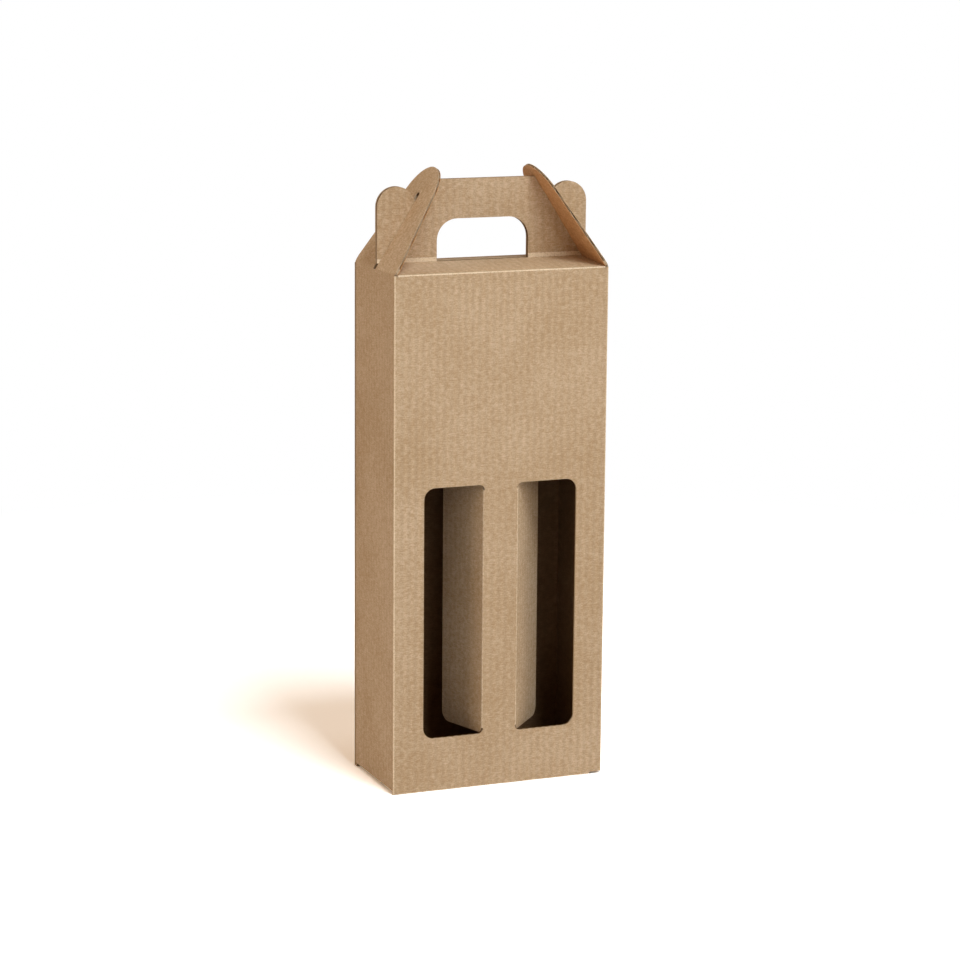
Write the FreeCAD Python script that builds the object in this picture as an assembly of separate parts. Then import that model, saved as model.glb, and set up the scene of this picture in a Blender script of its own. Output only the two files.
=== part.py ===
import FreeCAD, Part
import math
import os

from FreeCAD import Vector

os.makedirs("parts", exist_ok=True)

# Carry carton for two bottles, folded from one die-cut sheet of corrugated board.
# X runs along the front, Y to the back, Z up; the origin is the middle of the base.

# Board
board_t = 2.0
crease_in_r = 0.2
run_gap = 0.3
cut_gap = 0.4
leaf_gap = 0.3
lap_gap = 0.3

# Body
body_w = 160.0
body_d = 80.0
body_h = 368.0
column_foot = 0.8
column_head = 0.3

# Roof and handle, heights above the fold line of the body's top
roof_rise = 3.5
handle_top = 60.7
handle_side_gap = 1.35
ear_r = 14.0
ear_mid_z = 42.5
notch_rise = 1.0
hole_w = 69.0
grip_h = 27.7
hole_r = 15.0

# Gable flaps, lengths measured along the flap from its fold line
gable_lean = 32.5
gable_len = 81.4
gable_side_gap = 0.4
gable_straight = 5.0
gable_tip_r = 26.2
slot_end_gap = 2.1
slot_side_gap = 0.35
rest_gap = 0.35

# Windows and the flaps cut from them
web_w = 24.4
window_w = 45.4
window_z0 = 38.5
window_h = 180.0
window_r = 8.0
window_hinge_r = 4.0
relief_r = 2.6
relief_past = 1.2
left_window_angle = 73.0
right_window_angle = 48.5

# Bottom panels
relief_w = 7.0
hook_reach = 14.0
hook_half = 10.0
hook_r = 4.0
seam_gap = 0.3
panel_taper = 2.0
side_panel_len = 36.0
side_panel_gap = 0.4
side_panel_cut = 22.0
side_panel_chamfer = 6.0

# Glue flap
glue_w = 28.0
glue_end_gap = 3.0
glue_slope = 6.0

half_t = board_t / 2
crease_r = crease_in_r + half_t
crease_out_r = crease_in_r + board_t
side_x = body_w / 2
front_y = body_d / 2
wall_x = side_x - crease_out_r
wall_y = front_y - crease_out_r
axis_x = side_x - half_t
leaf_y = leaf_gap / 2 + board_t
handle_half = side_x - handle_side_gap
ear_x = handle_half - ear_r
notch_z = ear_mid_z + notch_rise
hole_top = handle_top - grip_h
gable_base_half = front_y - gable_side_gap
ear_reach = math.hypot(axis_x - ear_x, ear_mid_z) + ear_r
slot_end = ear_reach + slot_end_gap
window_hinge_x = web_w / 2
window_outer_x = window_hinge_x + window_w
window_z1 = window_z0 + window_h
lean = math.radians(gable_lean)
hinge_start = half_t + run_gap
fold_z = body_h - crease_out_r
crease_z = body_h + roof_rise + crease_in_r
side_level = board_t + lap_gap


def in_yz(x):
    return lambda a, b: Vector(x, a, b)


def in_xz(y):
    return lambda a, b: Vector(a, y, b)


def in_xy(z):
    return lambda a, b: Vector(a, b, z)


def unit(a, b):
    run = math.hypot(b[0] - a[0], b[1] - a[1])
    return ((b[0] - a[0]) / run, (b[1] - a[1]) / run)


def arc_edge(centre, first, last, radius, place):
    """Short arc about the centre, from the unit direction first to the unit direction last."""
    middle = unit((0, 0), (first[0] + last[0], first[1] + last[1]))
    ends = [place(centre[0] + d[0] * radius, centre[1] + d[1] * radius) for d in (first, middle, last)]
    return Part.Arc(*ends).toShape()


def line_edge(a, b, place):
    start = place(*a)
    stop = place(*b)
    if start.distanceToPoint(stop) < 1e-6:
        return []
    return [Part.makeLine(start, stop)]


def section(path, place):
    """Section of a creased sheet as a face; the path is the sheet's middle line."""
    runs = [unit(a, b) for a, b in zip(path, path[1:])]
    normals = [(-d[1], d[0]) for d in runs]
    sides = []
    for side in (1, -1):
        edges = []
        here = tuple(path[0][k] + normals[0][k] * side * half_t for k in (0, 1))
        for i in range(1, len(runs)):
            cross = runs[i - 1][0] * runs[i][1] - runs[i - 1][1] * runs[i][0]
            dot = runs[i - 1][0] * runs[i][0] + runs[i - 1][1] * runs[i][1]
            turn = 1 if cross > 0 else -1
            back = crease_r * math.tan(math.atan2(abs(cross), dot) / 2)
            centre = tuple(path[i][k] - runs[i - 1][k] * back + normals[i - 1][k] * turn * crease_r
                           for k in (0, 1))
            radius = crease_r - side * turn * half_t
            first = tuple(-normals[i - 1][k] * turn for k in (0, 1))
            last = tuple(-normals[i][k] * turn for k in (0, 1))
            edges += line_edge(here, tuple(centre[k] + first[k] * radius for k in (0, 1)), place)
            edges.append(arc_edge(centre, first, last, radius, place))
            here = tuple(centre[k] + last[k] * radius for k in (0, 1))
        stop = tuple(path[-1][k] + normals[-1][k] * side * half_t for k in (0, 1))
        edges += line_edge(here, stop, place)
        sides.append(edges)
    caps = []
    for end in (0, -1):
        pair = [tuple(path[end][k] + normals[end][k] * side * half_t for k in (0, 1)) for side in (1, -1)]
        caps += line_edge(pair[0], pair[1], place)
    return Part.Face(Part.Wire(Part.__sortEdges__(sides[0] + sides[1] + caps)))


def outline(corners, place):
    """Face inside a closed outline; each corner is (a, b, radius)."""
    edges = []
    ends = []
    count = len(corners)
    for i in range(count):
        before, here, after = corners[i - 1], corners[i], corners[(i + 1) % count]
        come = unit(before, here)
        go = unit(here, after)
        cross = come[0] * go[1] - come[1] * go[0]
        turn = 1 if cross > 0 else -1
        back = here[2] * math.tan(math.atan2(abs(cross), come[0] * go[0] + come[1] * go[1]) / 2)
        start = (here[0] - come[0] * back, here[1] - come[1] * back)
        stop = (here[0] + go[0] * back, here[1] + go[1] * back)
        if here[2] > 0:
            first = (come[1] * turn, -come[0] * turn)
            last = (go[1] * turn, -go[0] * turn)
            centre = (start[0] - first[0] * here[2], start[1] - first[1] * here[2])
            edges.append(arc_edge(centre, first, last, here[2], place))
        ends.append((start, stop))
    for i in range(count):
        edges += line_edge(ends[i - 1][1], ends[i][0], place)
    return Part.Face(Part.Wire(Part.__sortEdges__(edges)))


def box(x0, x1, y0, y1, z0, z1):
    return Part.makeBox(x1 - x0, y1 - y0, z1 - z0, Vector(x0, y0, z0))


def rod(radius, start, direction, length):
    return Part.makeCylinder(radius, length, start, direction)


def join(shapes):
    return shapes[0].fuse(shapes[1:]).removeSplitter()


def half_turn(shape):
    copy = shape.copy()
    copy.rotate(Vector(0, 0, 0), Vector(0, 0, 1), 180)
    return copy


def mirror_x(shape):
    return shape.mirror(Vector(0, 0, 0), Vector(1, 0, 0))


def gable_face_x(height, offset):
    """X of the leaning gable flap's face at a height above the fold, offset outwards."""
    return axis_x - height * math.tan(lean) + offset / math.cos(lean)


def bottom_panel_mask():
    """Plan of the front bottom panel: a relief at its right end and a hooked free edge."""
    relief_x = wall_x - relief_w
    far = hook_reach - seam_gap
    near = -hook_reach - seam_gap
    corners = [
        (-wall_x + side_panel_gap, -front_y - board_t, 0),
        (relief_x, -front_y - board_t, 0),
        (relief_x, near, hook_r),
        (hook_half - seam_gap, near, hook_r),
        (-hook_half - seam_gap, far, hook_r),
        (-wall_x + side_panel_gap + panel_taper, far, hook_r),
        (-wall_x + side_panel_gap, -wall_y, 0),
    ]
    return outline(corners, in_xy(-board_t)).extrude(Vector(0, 0, board_t + crease_out_r))


def roof_mask():
    """Plan of a roof panel, clear of the gable flaps that lean over its ends."""
    wide = gable_face_x(0, -half_t - rest_gap)
    narrow = gable_face_x(roof_rise, -half_t - rest_gap)
    corners = [
        (-wide, -front_y - board_t, 0), (wide, -front_y - board_t, 0), (wide, -front_y, 0),
        (narrow, -leaf_y, 0), (narrow, 0, 0), (-narrow, 0, 0),
        (-narrow, -leaf_y, 0), (-wide, -front_y, 0),
    ]
    return outline(corners, in_xy(fold_z)).extrude(Vector(0, 0, crease_z - fold_z))


def handle_mask():
    """Front view of the handle: two round ears, the notches for the gable flaps, the grip."""
    top = body_h + handle_top
    blank = outline([
        (-handle_half, crease_z, 0), (handle_half, crease_z, 0),
        (handle_half, top, 0), (-handle_half, top, 0),
    ], in_xz(-front_y)).extrude(Vector(0, body_d, 0))
    over = handle_top + board_t
    edge_low = gable_face_x(notch_z, -half_t - rest_gap)
    edge_high = gable_face_x(over, -half_t - rest_gap)
    waste = outline([
        (edge_low, body_h + notch_z, 0), (edge_high, body_h + over, 0),
        (side_x + board_t, body_h + over, 0), (side_x + board_t, body_h + ear_mid_z, 0),
        (ear_x, body_h + ear_mid_z, 0), (ear_x, body_h + notch_z, 0),
    ], in_xz(-front_y)).extrude(Vector(0, body_d, 0))
    waste = waste.cut(rod(ear_r, Vector(ear_x, -front_y, body_h + ear_mid_z), Vector(0, 1, 0), body_d))
    return blank.cut(waste).cut(mirror_x(waste))


def hand_hole():
    corners = [
        (-hole_w / 2, body_h + roof_rise, 0), (hole_w / 2, body_h + roof_rise, 0),
        (hole_w / 2, body_h + hole_top, hole_r), (-hole_w / 2, body_h + hole_top, hole_r),
    ]
    return outline(corners, in_xz(-leaf_y - board_t)).extrude(Vector(0, leaf_y + board_t, 0))


def front_sheet():
    """Bottom panel, wall, roof panel and handle leaf of one long side."""
    slope = math.atan(roof_rise / (front_y - leaf_y))
    drop = half_t / math.cos(slope)
    step = half_t * math.tan(slope)
    path = [
        (hook_reach, half_t),
        (-front_y + half_t, half_t),
        (-front_y + half_t, body_h - drop + step),
        (-leaf_y + half_t, body_h + roof_rise - drop + step),
        (-leaf_y + half_t, body_h + handle_top),
    ]
    sheet = section(path, in_yz(-side_x)).extrude(Vector(body_w, 0, 0))
    wall_mask = box(-wall_x, wall_x, -front_y - board_t, -wall_y, crease_out_r, fold_z)
    masks = [bottom_panel_mask(), wall_mask, roof_mask(), handle_mask()]
    pieces = [sheet.common(mask) for mask in masks]
    pieces.append(box(wall_x - relief_w, wall_x, -front_y, -front_y + board_t, column_foot, crease_out_r))
    return join(pieces).cut(hand_hole())


def side_sheet(y0, y1):
    """Right side wall with its bottom panel, and a round top that its gable flap turns on."""
    path = [
        (side_x - side_panel_len, side_level + half_t),
        (axis_x, side_level + half_t),
        (axis_x, body_h),
    ]
    sheet = section(path, in_xz(y0)).extrude(Vector(0, y1 - y0, 0))
    free_x = side_x - side_panel_len
    plan = outline([
        (side_x + board_t, -front_y, 0), (side_x + board_t, front_y, 0), (wall_x, front_y, 0),
        (wall_x, y1 - side_panel_gap, 0), (wall_x - side_panel_chamfer, y1 - side_panel_gap, 0),
        (free_x, y1 - side_panel_gap - side_panel_cut, hook_r), (free_x, y0 + side_panel_gap, hook_r),
        (wall_x, y0 + side_panel_gap, 0), (wall_x, -front_y, 0),
    ], in_xy(side_level)).extrude(Vector(0, 0, crease_out_r))
    wall = box(side_x - board_t, side_x, y0, y1, side_level + crease_out_r, body_h)
    top = rod(half_t, Vector(axis_x, y0, body_h), Vector(0, 1, 0), y1 - y0)
    return join([sheet.common(plan), wall, top])


def column(x_sign, y_sign, y_mid, z0, z1):
    """Upright crease between two walls: a quarter ring."""
    mid = Vector(x_sign * wall_x, y_mid, z0)
    ring = rod(crease_out_r, mid, Vector(0, 0, 1), z1 - z0)
    ring = ring.cut(rod(crease_in_r, mid, Vector(0, 0, 1), z1 - z0))
    x_ends = sorted((x_sign * wall_x, x_sign * side_x))
    y_ends = sorted((y_mid, y_mid + y_sign * crease_out_r))
    return ring.common(box(x_ends[0], x_ends[1], y_ends[0], y_ends[1], z0, z1))


def glue_flap(y_mid):
    """Flap on the left wall's rear end, glued to the inside of the rear wall."""
    outer_y = front_y - board_t
    low = side_level + crease_out_r
    corners = [
        (-wall_x, low, 0), (-wall_x + glue_w, low + glue_end_gap + glue_slope, 0),
        (-wall_x + glue_w, body_h - glue_end_gap - glue_slope, 0), (-wall_x, body_h - glue_end_gap, 0),
    ]
    flap = outline(corners, in_xz(outer_y - board_t)).extrude(Vector(0, board_t, 0))
    return join([flap, column(-1, 1, y_mid, low, body_h - glue_end_gap)])


def window_cut():
    """Right window with a small relief at each end of its fold line."""
    depth = 3 * board_t
    start_y = -front_y - board_t
    corners = [
        (window_hinge_x, window_z0, window_hinge_r), (window_outer_x, window_z0, window_r),
        (window_outer_x, window_z1, window_r), (window_hinge_x, window_z1, window_hinge_r),
    ]
    hole = outline(corners, in_xz(start_y)).extrude(Vector(0, depth, 0))
    relief_x = window_hinge_x - relief_past + relief_r
    reliefs = [
        rod(relief_r, Vector(relief_x, start_y, z), Vector(0, 1, 0), depth)
        for z in (window_z0 + relief_r, window_z1 - relief_r)
    ]
    return join([hole] + reliefs)


def window_edge():
    """Rounded edge of the web that the right window flap turns on."""
    z0 = window_z0 + 2 * relief_r
    z1 = window_z1 - 2 * relief_r
    return rod(half_t, Vector(window_hinge_x, -front_y + half_t, z0), Vector(0, 0, 1), z1 - z0)


def carton():
    front = front_sheet()
    rear = half_turn(front)
    cut = window_cut()
    edge = window_edge()
    front = join([front.cut(cut).cut(mirror_x(cut)), edge, mirror_x(edge)])
    right = side_sheet(-wall_y, wall_y)
    seam_y = wall_y - board_t
    left = half_turn(side_sheet(-seam_y, wall_y))
    head = body_h - column_head
    columns = [
        column(-1, -1, -wall_y, column_foot, head),
        column(1, -1, -wall_y, column_foot, head),
        column(1, 1, wall_y, column_foot, head),
    ]
    rear_end = box(-side_x, -wall_x, front_y - board_t, front_y, column_foot, head)
    return join([front, rear, right, left, rear_end, glue_flap(seam_y)] + columns)


def gable_flap():
    """Right gable flap, upright over its fold line, before it leans in."""
    tip_mid = gable_len - gable_tip_r
    away = math.atan2(gable_base_half, gable_straight - tip_mid)
    spread = math.acos(gable_tip_r / math.hypot(gable_base_half, gable_straight - tip_mid))
    touch = away - spread
    side_v = tip_mid + gable_tip_r * math.cos(touch)
    side_half = gable_tip_r * math.sin(touch)
    place = in_yz(axis_x - half_t)
    base = body_h + hinge_start
    straight = body_h + gable_straight
    touch_z = body_h + side_v
    left_run = [(side_half, touch_z), (gable_base_half, straight), (gable_base_half, base)]
    right_run = [(-a, b) for a, b in reversed(left_run)]
    points = left_run + right_run
    edges = []
    for a, b in zip(points, points[1:]):
        edges += line_edge(a, b, place)
    edges.append(Part.Arc(place(*points[-1]), place(0, body_h + gable_len), place(*points[0])).toShape())
    plate = Part.Face(Part.Wire(edges)).extrude(Vector(board_t, 0, 0))
    slot_half = leaf_y + slot_side_gap
    slot_mid = body_h + slot_end - slot_half
    slot = join([
        box(axis_x - board_t, axis_x + board_t, -slot_half, slot_half, body_h, slot_mid),
        rod(slot_half, Vector(axis_x - board_t, 0, slot_mid), Vector(1, 0, 0), 2 * board_t),
    ])
    flap = plate.cut(slot)
    flap.rotate(Vector(axis_x, 0, body_h), Vector(0, 1, 0), -gable_lean)
    return flap


def window_flap(angle):
    """Right window flap, turned inwards about the window's inner edge."""
    x0 = window_hinge_x + hinge_start
    x1 = window_outer_x - cut_gap
    z0 = window_z0 + cut_gap
    z1 = window_z1 - cut_gap
    free_r = window_r - cut_gap
    hinge_r = window_hinge_r - cut_gap
    corners = [(x0, z0, hinge_r), (x1, z0, free_r), (x1, z1, free_r), (x0, z1, hinge_r)]
    flap = outline(corners, in_xz(-front_y)).extrude(Vector(0, board_t, 0))
    flap.rotate(Vector(window_hinge_x, -front_y + half_t, 0), Vector(0, 0, 1), angle)
    return flap


nodes = {
    "carton": carton(),
    "left_gable_flap": mirror_x(gable_flap()),
    "right_gable_flap": gable_flap(),
    "left_window_flap": mirror_x(window_flap(left_window_angle)),
    "right_window_flap": window_flap(right_window_angle),
}
for name, shape in nodes.items():
    solid = shape.Solids[0] if len(shape.Solids) == 1 else shape
    solid.exportStep("parts/%s.step" % name)
    volume = shape.Volume / 1000
    print(name, "solids", len(shape.Solids), "valid", shape.isValid(), "volume %.1f cm3" % volume)
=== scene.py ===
import bpy
import bmesh
import math
from mathutils import Matrix, Vector
from mathutils.geometry import delaunay_2d_cdt


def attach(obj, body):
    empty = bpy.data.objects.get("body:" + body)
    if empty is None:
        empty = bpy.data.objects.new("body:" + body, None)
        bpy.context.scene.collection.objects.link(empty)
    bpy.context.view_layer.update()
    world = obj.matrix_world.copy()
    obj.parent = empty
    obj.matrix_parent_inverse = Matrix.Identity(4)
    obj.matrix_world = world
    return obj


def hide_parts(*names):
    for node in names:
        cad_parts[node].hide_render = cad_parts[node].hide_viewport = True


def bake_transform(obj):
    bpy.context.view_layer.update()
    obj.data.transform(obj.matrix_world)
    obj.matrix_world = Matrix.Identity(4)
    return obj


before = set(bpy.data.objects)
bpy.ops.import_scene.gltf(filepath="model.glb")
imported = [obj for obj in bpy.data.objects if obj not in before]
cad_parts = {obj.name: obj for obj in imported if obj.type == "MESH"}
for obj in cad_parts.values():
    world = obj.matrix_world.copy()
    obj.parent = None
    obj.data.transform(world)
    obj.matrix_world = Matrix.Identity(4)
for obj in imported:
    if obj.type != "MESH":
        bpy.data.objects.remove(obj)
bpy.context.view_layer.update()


# Front and rear of the carton: each is one run of the single folded sheet, from its hooked
# bottom panel up the wall, over the sloping roof panel and into its leaf of the handle.
# Brown single-wall corrugated board, creased across the flutes, windows die-cut in the front.
mm = 0.001
board_t = 2.0
liner_t = 0.3
medium_t = 0.22
flute_pitch = 5.2
steps_in_flute = 12
crease_in_r = 0.2
bend_r = crease_in_r + board_t / 2
body_w, body_d, body_h = 160.0, 80.0, 368.0
flat_x = body_w / 2 - board_t - crease_in_r
flat_y = body_d / 2 - board_t - crease_in_r
roof_rise, handle_top = 3.5, 60.7
leaf_y = board_t + 0.15
wall_y, leaf_mid = -body_d / 2 + board_t / 2, -leaf_y + board_t / 2
gable_lean = math.radians(32.5)
gable_axis_x = body_w / 2 - board_t / 2
web_x = 12.2
column_foot, column_head = 0.25, body_h - 0.3
wear_and_highlight_reach, ridge_half = 0.33, 0.12


def corner_reach(turned, full, w, fillet=0.9):
    """Distance of a ply from the middle of a crease, turned so far round it: the outer ply is
    drawn tight over the fold, the inner ply is pinched in it."""
    if w <= 0:
        return bend_r + w
    outer = bend_r + board_t / 2
    near = min(turned, full - turned)
    if outer * math.tan(near) <= (outer - fillet) * math.tan(full / 2):
        reach = outer / math.cos(near)
    else:
        to_middle = full / 2 - near
        centre = (outer - fillet) / math.cos(full / 2)
        to_arc = math.sqrt(fillet ** 2 - (centre * math.sin(to_middle)) ** 2)
        reach = centre * math.cos(to_middle) + to_arc
    return bend_r + w * (reach - bend_r) / (board_t / 2)


def creased(path, level_run):
    """Middle line of a creased board: gives place(v, w), the runs and the lines where it bends.
    On the run level_run, v is the second coordinate of the path."""
    spans = []
    here = Vector(path[0])
    v = 0.0
    for i in range(1, len(path)):
        run = (Vector(path[i]) - Vector(path[i - 1])).normalized()
        if i == len(path) - 1:
            length = (Vector(path[i]) - here).length
            spans.append(["run", v, v + length, here, run, 0])
            break
        after = (Vector(path[i + 1]) - Vector(path[i])).normalized()
        angle = run.angle(after)
        turn = 1 if run.x * after.y - run.y * after.x > 0 else -1
        back = bend_r * math.tan(angle / 2)
        stop = Vector(path[i]) - run * back
        length = (stop - here).length
        spans.append(["run", v, v + length, here, run, 0])
        v += length
        centre = stop + Vector((-run.y, run.x)) * turn * bend_r
        spans.append(["bend", v, v + bend_r * angle, centre, run, turn])
        v += bend_r * angle
        here = Vector(path[i]) + after * back
    runs = [s for s in spans if s[0] == "run"]
    shift = runs[level_run][3].y - runs[level_run][1]
    for s in spans:
        s[1] += shift
        s[2] += shift

    def place(v, w):
        span = next((s for s in spans if v <= s[2] + 1e-6), spans[-1])
        kind, v0, v1, at, run, turn = span
        if kind == "run":
            return at + run * (v - v0) + Vector((-run.y, run.x)) * w
        angle = (v - v0) / bend_r
        c, s = math.cos(angle), turn * math.sin(angle)
        now = Vector((run.x * c - run.y * s, run.x * s + run.y * c))
        reach = corner_reach(angle, (v1 - v0) / bend_r, -turn * w)
        return at - Vector((-now.y, now.x)) * turn * reach

    bends = [(s[1], s[2]) for s in spans if s[0] == "bend"]
    return place, runs, bends


def rounded(corners, step=math.radians(9)):
    """Closed outline of (a, b, radius) corners as points."""
    points = []
    for i, (a, b, r) in enumerate(corners):
        here = Vector((a, b))
        come = (here - Vector(corners[i - 1][:2])).normalized()
        go = (Vector(corners[(i + 1) % len(corners)][:2]) - here).normalized()
        if r <= 0:
            points.append((a, b))
            continue
        turn = 1 if come.x * go.y - come.y * go.x > 0 else -1
        angle = come.angle(go)
        start = here - come * r * math.tan(angle / 2)
        centre = start + Vector((-come.y, come.x)) * turn * r
        count = max(2, math.ceil(angle / step))
        for k in range(count + 1):
            t = turn * angle * k / count
            c, s = math.cos(t), math.sin(t)
            arm = start - centre
            points.append((centre.x + arm.x * c - arm.y * s, centre.y + arm.x * s + arm.y * c))
    return points


def arc(centre, radius, a0, a1, count):
    angles = [math.radians(a0 + (a1 - a0) * k / count) for k in range(count + 1)]
    return [(centre[0] + radius * math.cos(a), centre[1] + radius * math.sin(a)) for a in angles]


def bend_lines(bends, count=12):
    """Lines across the board that each bend needs."""
    return [v0 + (v1 - v0) * k / count for v0, v1 in bends for k in range(count + 1)]


def wear_and_highlight_of(value, worn_and_lit):
    """Wear and painted highlight at a coordinate, from the (low, high, level) stretches drawn pale.
    """
    rubbed = [0]
    for low, high, level in worn_and_lit:
        rubbed.append(level * (1 - min(max(low - value, value - high, 0) / wear_and_highlight_reach, 1)))
    return max(rubbed)


def ridge(low, high, level=1.0):
    """The stretch of a fold that stands proud: it is rubbed, and drawn pale as a painted highlight.
    """
    return ((low + high) / 2 - ridge_half, (low + high) / 2 + ridge_half, level)


class Board:
    """Mesh data of one piece of board: outside liner, inside liner and the medium between."""

    def __init__(self):
        self.liner = bmesh.new()
        self.uv = self.liner.loops.layers.uv.new("Sheet")
        self.wear_and_highlight = self.liner.verts.layers.float.new("wear_and_highlight")
        self.medium = bmesh.new()
        self.across = self.medium.verts.layers.float.new("across")
        self.outward = self.medium.verts.layers.float_vector.new("outward")

    def add(self, outline, holes, place, s_lines=(), v_lines=(), s_worn_and_lit=(), v_worn_and_lit=(), shift=(0, 0),
            joined=()):
        """One panel: outline and holes in (s, v) millimetres, place(s, v, w) puts it in space.
        Its edges at the s values in joined go on in the next panel, and aren't cut."""
        loops = [outline] + list(holes)
        points = [Vector(p) for loop in loops for p in loop]
        faces = []
        for loop in loops:
            first = sum(len(f) for f in faces)
            faces.append(list(range(first, first + len(loop))))
        low = [min(p[k] for p in outline) for k in (0, 1)]
        high = [max(p[k] for p in outline) for k in (0, 1)]
        edges = []
        for s in s_lines:
            if low[0] < s < high[0]:
                edges.append((len(points), len(points) + 1))
                points += [Vector((s, low[1] - 1)), Vector((s, high[1] + 1))]
        for v in v_lines:
            if low[1] < v < high[1]:
                edges.append((len(points), len(points) + 1))
                points += [Vector((low[0] - 1, v)), Vector((high[0] + 1, v))]
        cut = delaunay_2d_cdt(points, edges, faces, 0, 1e-5)
        flat, tris, owners = cut[0], cut[2], cut[5]
        cut_out = set(range(1, len(loops)))
        kept = [t for t, o in zip(tris, owners) if 0 in o and not cut_out & set(o)]
        half = board_t / 2
        for w0, w1, slot in ((half - liner_t, half, 0), (-half, -half + liner_t, 1)):
            self.ply(flat, kept, place, w0, w1, slot, s_worn_and_lit, v_worn_and_lit, shift)
        self.core(loops, place, v_lines, s_lines, shift, joined)

    def ply(self, flat, tris, place, w0, w1, slot, s_worn_and_lit, v_worn_and_lit, shift):
        used = sorted({i for t in tris for i in t})
        layers = []
        for w in (w0, w1):
            layer = {}
            for i in used:
                s, v = flat[i]
                vert = self.liner.verts.new(place(s, v, w) * mm)
                vert[self.wear_and_highlight] = max(wear_and_highlight_of(s, s_worn_and_lit), wear_and_highlight_of(v, v_worn_and_lit))
                layer[i] = vert
            layers.append(layer)
        count = {}
        made = []
        for t in tris:
            for k in range(3):
                e = (t[k], t[(k + 1) % 3])
                count[frozenset(e)] = None if frozenset(e) in count else e
            for layer in layers:
                order = t if layer is layers[1] else t[::-1]
                made.append((self.liner.faces.new([layer[i] for i in order]), order))
        for e in count.values():
            if e:
                a, b = e
                verts = [layers[0][a], layers[0][b], layers[1][b], layers[1][a]]
                made.append((self.liner.faces.new(verts), (a, b, b, a)))
        for face, order in made:
            face.material_index = slot
            for loop, i in zip(face.loops, order):
                loop[self.uv].uv = ((flat[i][0] + shift[0]) * mm, (flat[i][1] + shift[1]) * mm)
        bmesh.ops.recalc_face_normals(self.liner, faces=[f for f, _ in made])

    def core(self, loops, place, v_lines, s_lines, shift, joined, inset=0.05, shortest=3.0,
             apart=0.02, probe=0.1):
        """Flat middle sheet of the medium, in strips that stop just inside the cut edges. A cut
        that runs along the flutes for longer than shortest is closed by a crushed flute."""
        def crossings(s):
            found = []
            for loop in loops:
                for (a, b), (c, d) in zip(loop, loop[1:] + loop[:1]):
                    if (a - s) * (c - s) < 0:
                        found.append(b + (d - b) * (s - a) / (c - a))
            return sorted(found)

        step = flute_pitch / steps_in_flute
        low = min(p[0] for p in loops[0])
        high = max(p[0] for p in loops[0])
        first = math.ceil((low + shift[0]) / step)
        last = int((high + shift[0]) / step)
        marks = [low, high] + [k * step - shift[0] for k in range(first, last + 1)]
        marks += [s for s in s_lines if low < s < high]
        for loop in loops:
            for (a, b), (c, d) in zip(loop, loop[1:] + loop[:1]):
                if abs(a - c) < 1e-6 and abs(b - d) > 1:
                    marks.append(a)
        marks = sorted(marks)
        marks = [s for k, s in enumerate(marks) if k == 0 or s - marks[k - 1] > 1e-4]
        verts = {}

        def vert(s, v):
            key = (round(s, 4), round(v, 4))
            if key not in verts:
                spot = self.medium.verts.new(place(s, v, 0) * mm)
                spot[self.across] = (s + shift[0]) * mm
                spot[self.outward] = place(s, v, 0.5) - place(s, v, -0.5)
                verts[key] = spot
            return verts[key]

        for sa, sb in zip(marks, marks[1:]):
            tiny = (sb - sa) * 1e-3
            middle = crossings((sa + sb) / 2)
            sides = [crossings(sa + tiny), crossings(sb - tiny)]
            sides = [side if len(side) == len(middle) else middle for side in sides]
            for k in range(0, len(middle) - 1, 2):
                lo = [side[k] + inset for side in sides]
                hi = [side[k + 1] - inset for side in sides]
                if min(hi[0] - lo[0], hi[1] - lo[1]) < 2 * inset:
                    continue
                inside = [v for v in sorted(v_lines) if max(lo) + apart < v < min(hi) - apart]
                rows = [lo] + [(v, v) for v in inside] + [hi]
                for below, above in zip(rows, rows[1:]):
                    self.medium.faces.new([
                        vert(sa, below[0]), vert(sb, below[1]),
                        vert(sb, above[1]), vert(sa, above[0])])
        for loop in loops:
            for (a, b), (c, d) in zip(loop, loop[1:] + loop[:1]):
                goes_on = any(abs(a - s) < 1e-3 for s in joined)
                if abs(a - c) < 1e-6 and abs(b - d) > shortest and not goes_on:
                    below = sum(v < (b + d) / 2 for v in crossings(a + probe))
                    inward = 1 if below % 2 else -1
                    self.crushed(a, inward, min(b, d), max(b, d), place, v_lines, shift)

    def crushed(self, s, inward, low, high, place, v_lines, shift, inset=0.05, near=0.08, far=0.3):
        """Crushed flute that closes a cut running along it: it fills from near to far inside the
        cut, between the liners."""
        inside = [v for v in sorted(v_lines) if low + 2 * inset < v < high - 2 * inset]
        rows = [low + inset] + inside + [high - inset]
        half = board_t / 2 - liner_t
        rings = []
        for v in rows:
            ring = []
            for depth, w in ((near, -half), (near, half), (far, half), (far, -half)):
                a = s + inward * depth
                ring.append((self.liner.verts.new(place(a, v, w) * mm), a, v))
            rings.append(ring)
        sides = [[lower[k], lower[(k + 1) % 4], upper[(k + 1) % 4], upper[k]]
                 for lower, upper in zip(rings, rings[1:]) for k in range(4)]
        made = []
        for corners in sides + [rings[0], rings[-1]]:
            face = self.liner.faces.new([c[0] for c in corners])
            face.material_index = 2
            for loop, c in zip(face.loops, corners):
                loop[self.uv].uv = ((c[1] + shift[0]) * mm, (c[2] + shift[1]) * mm)
            made.append(face)
        bmesh.ops.recalc_face_normals(self.liner, faces=made)

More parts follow.
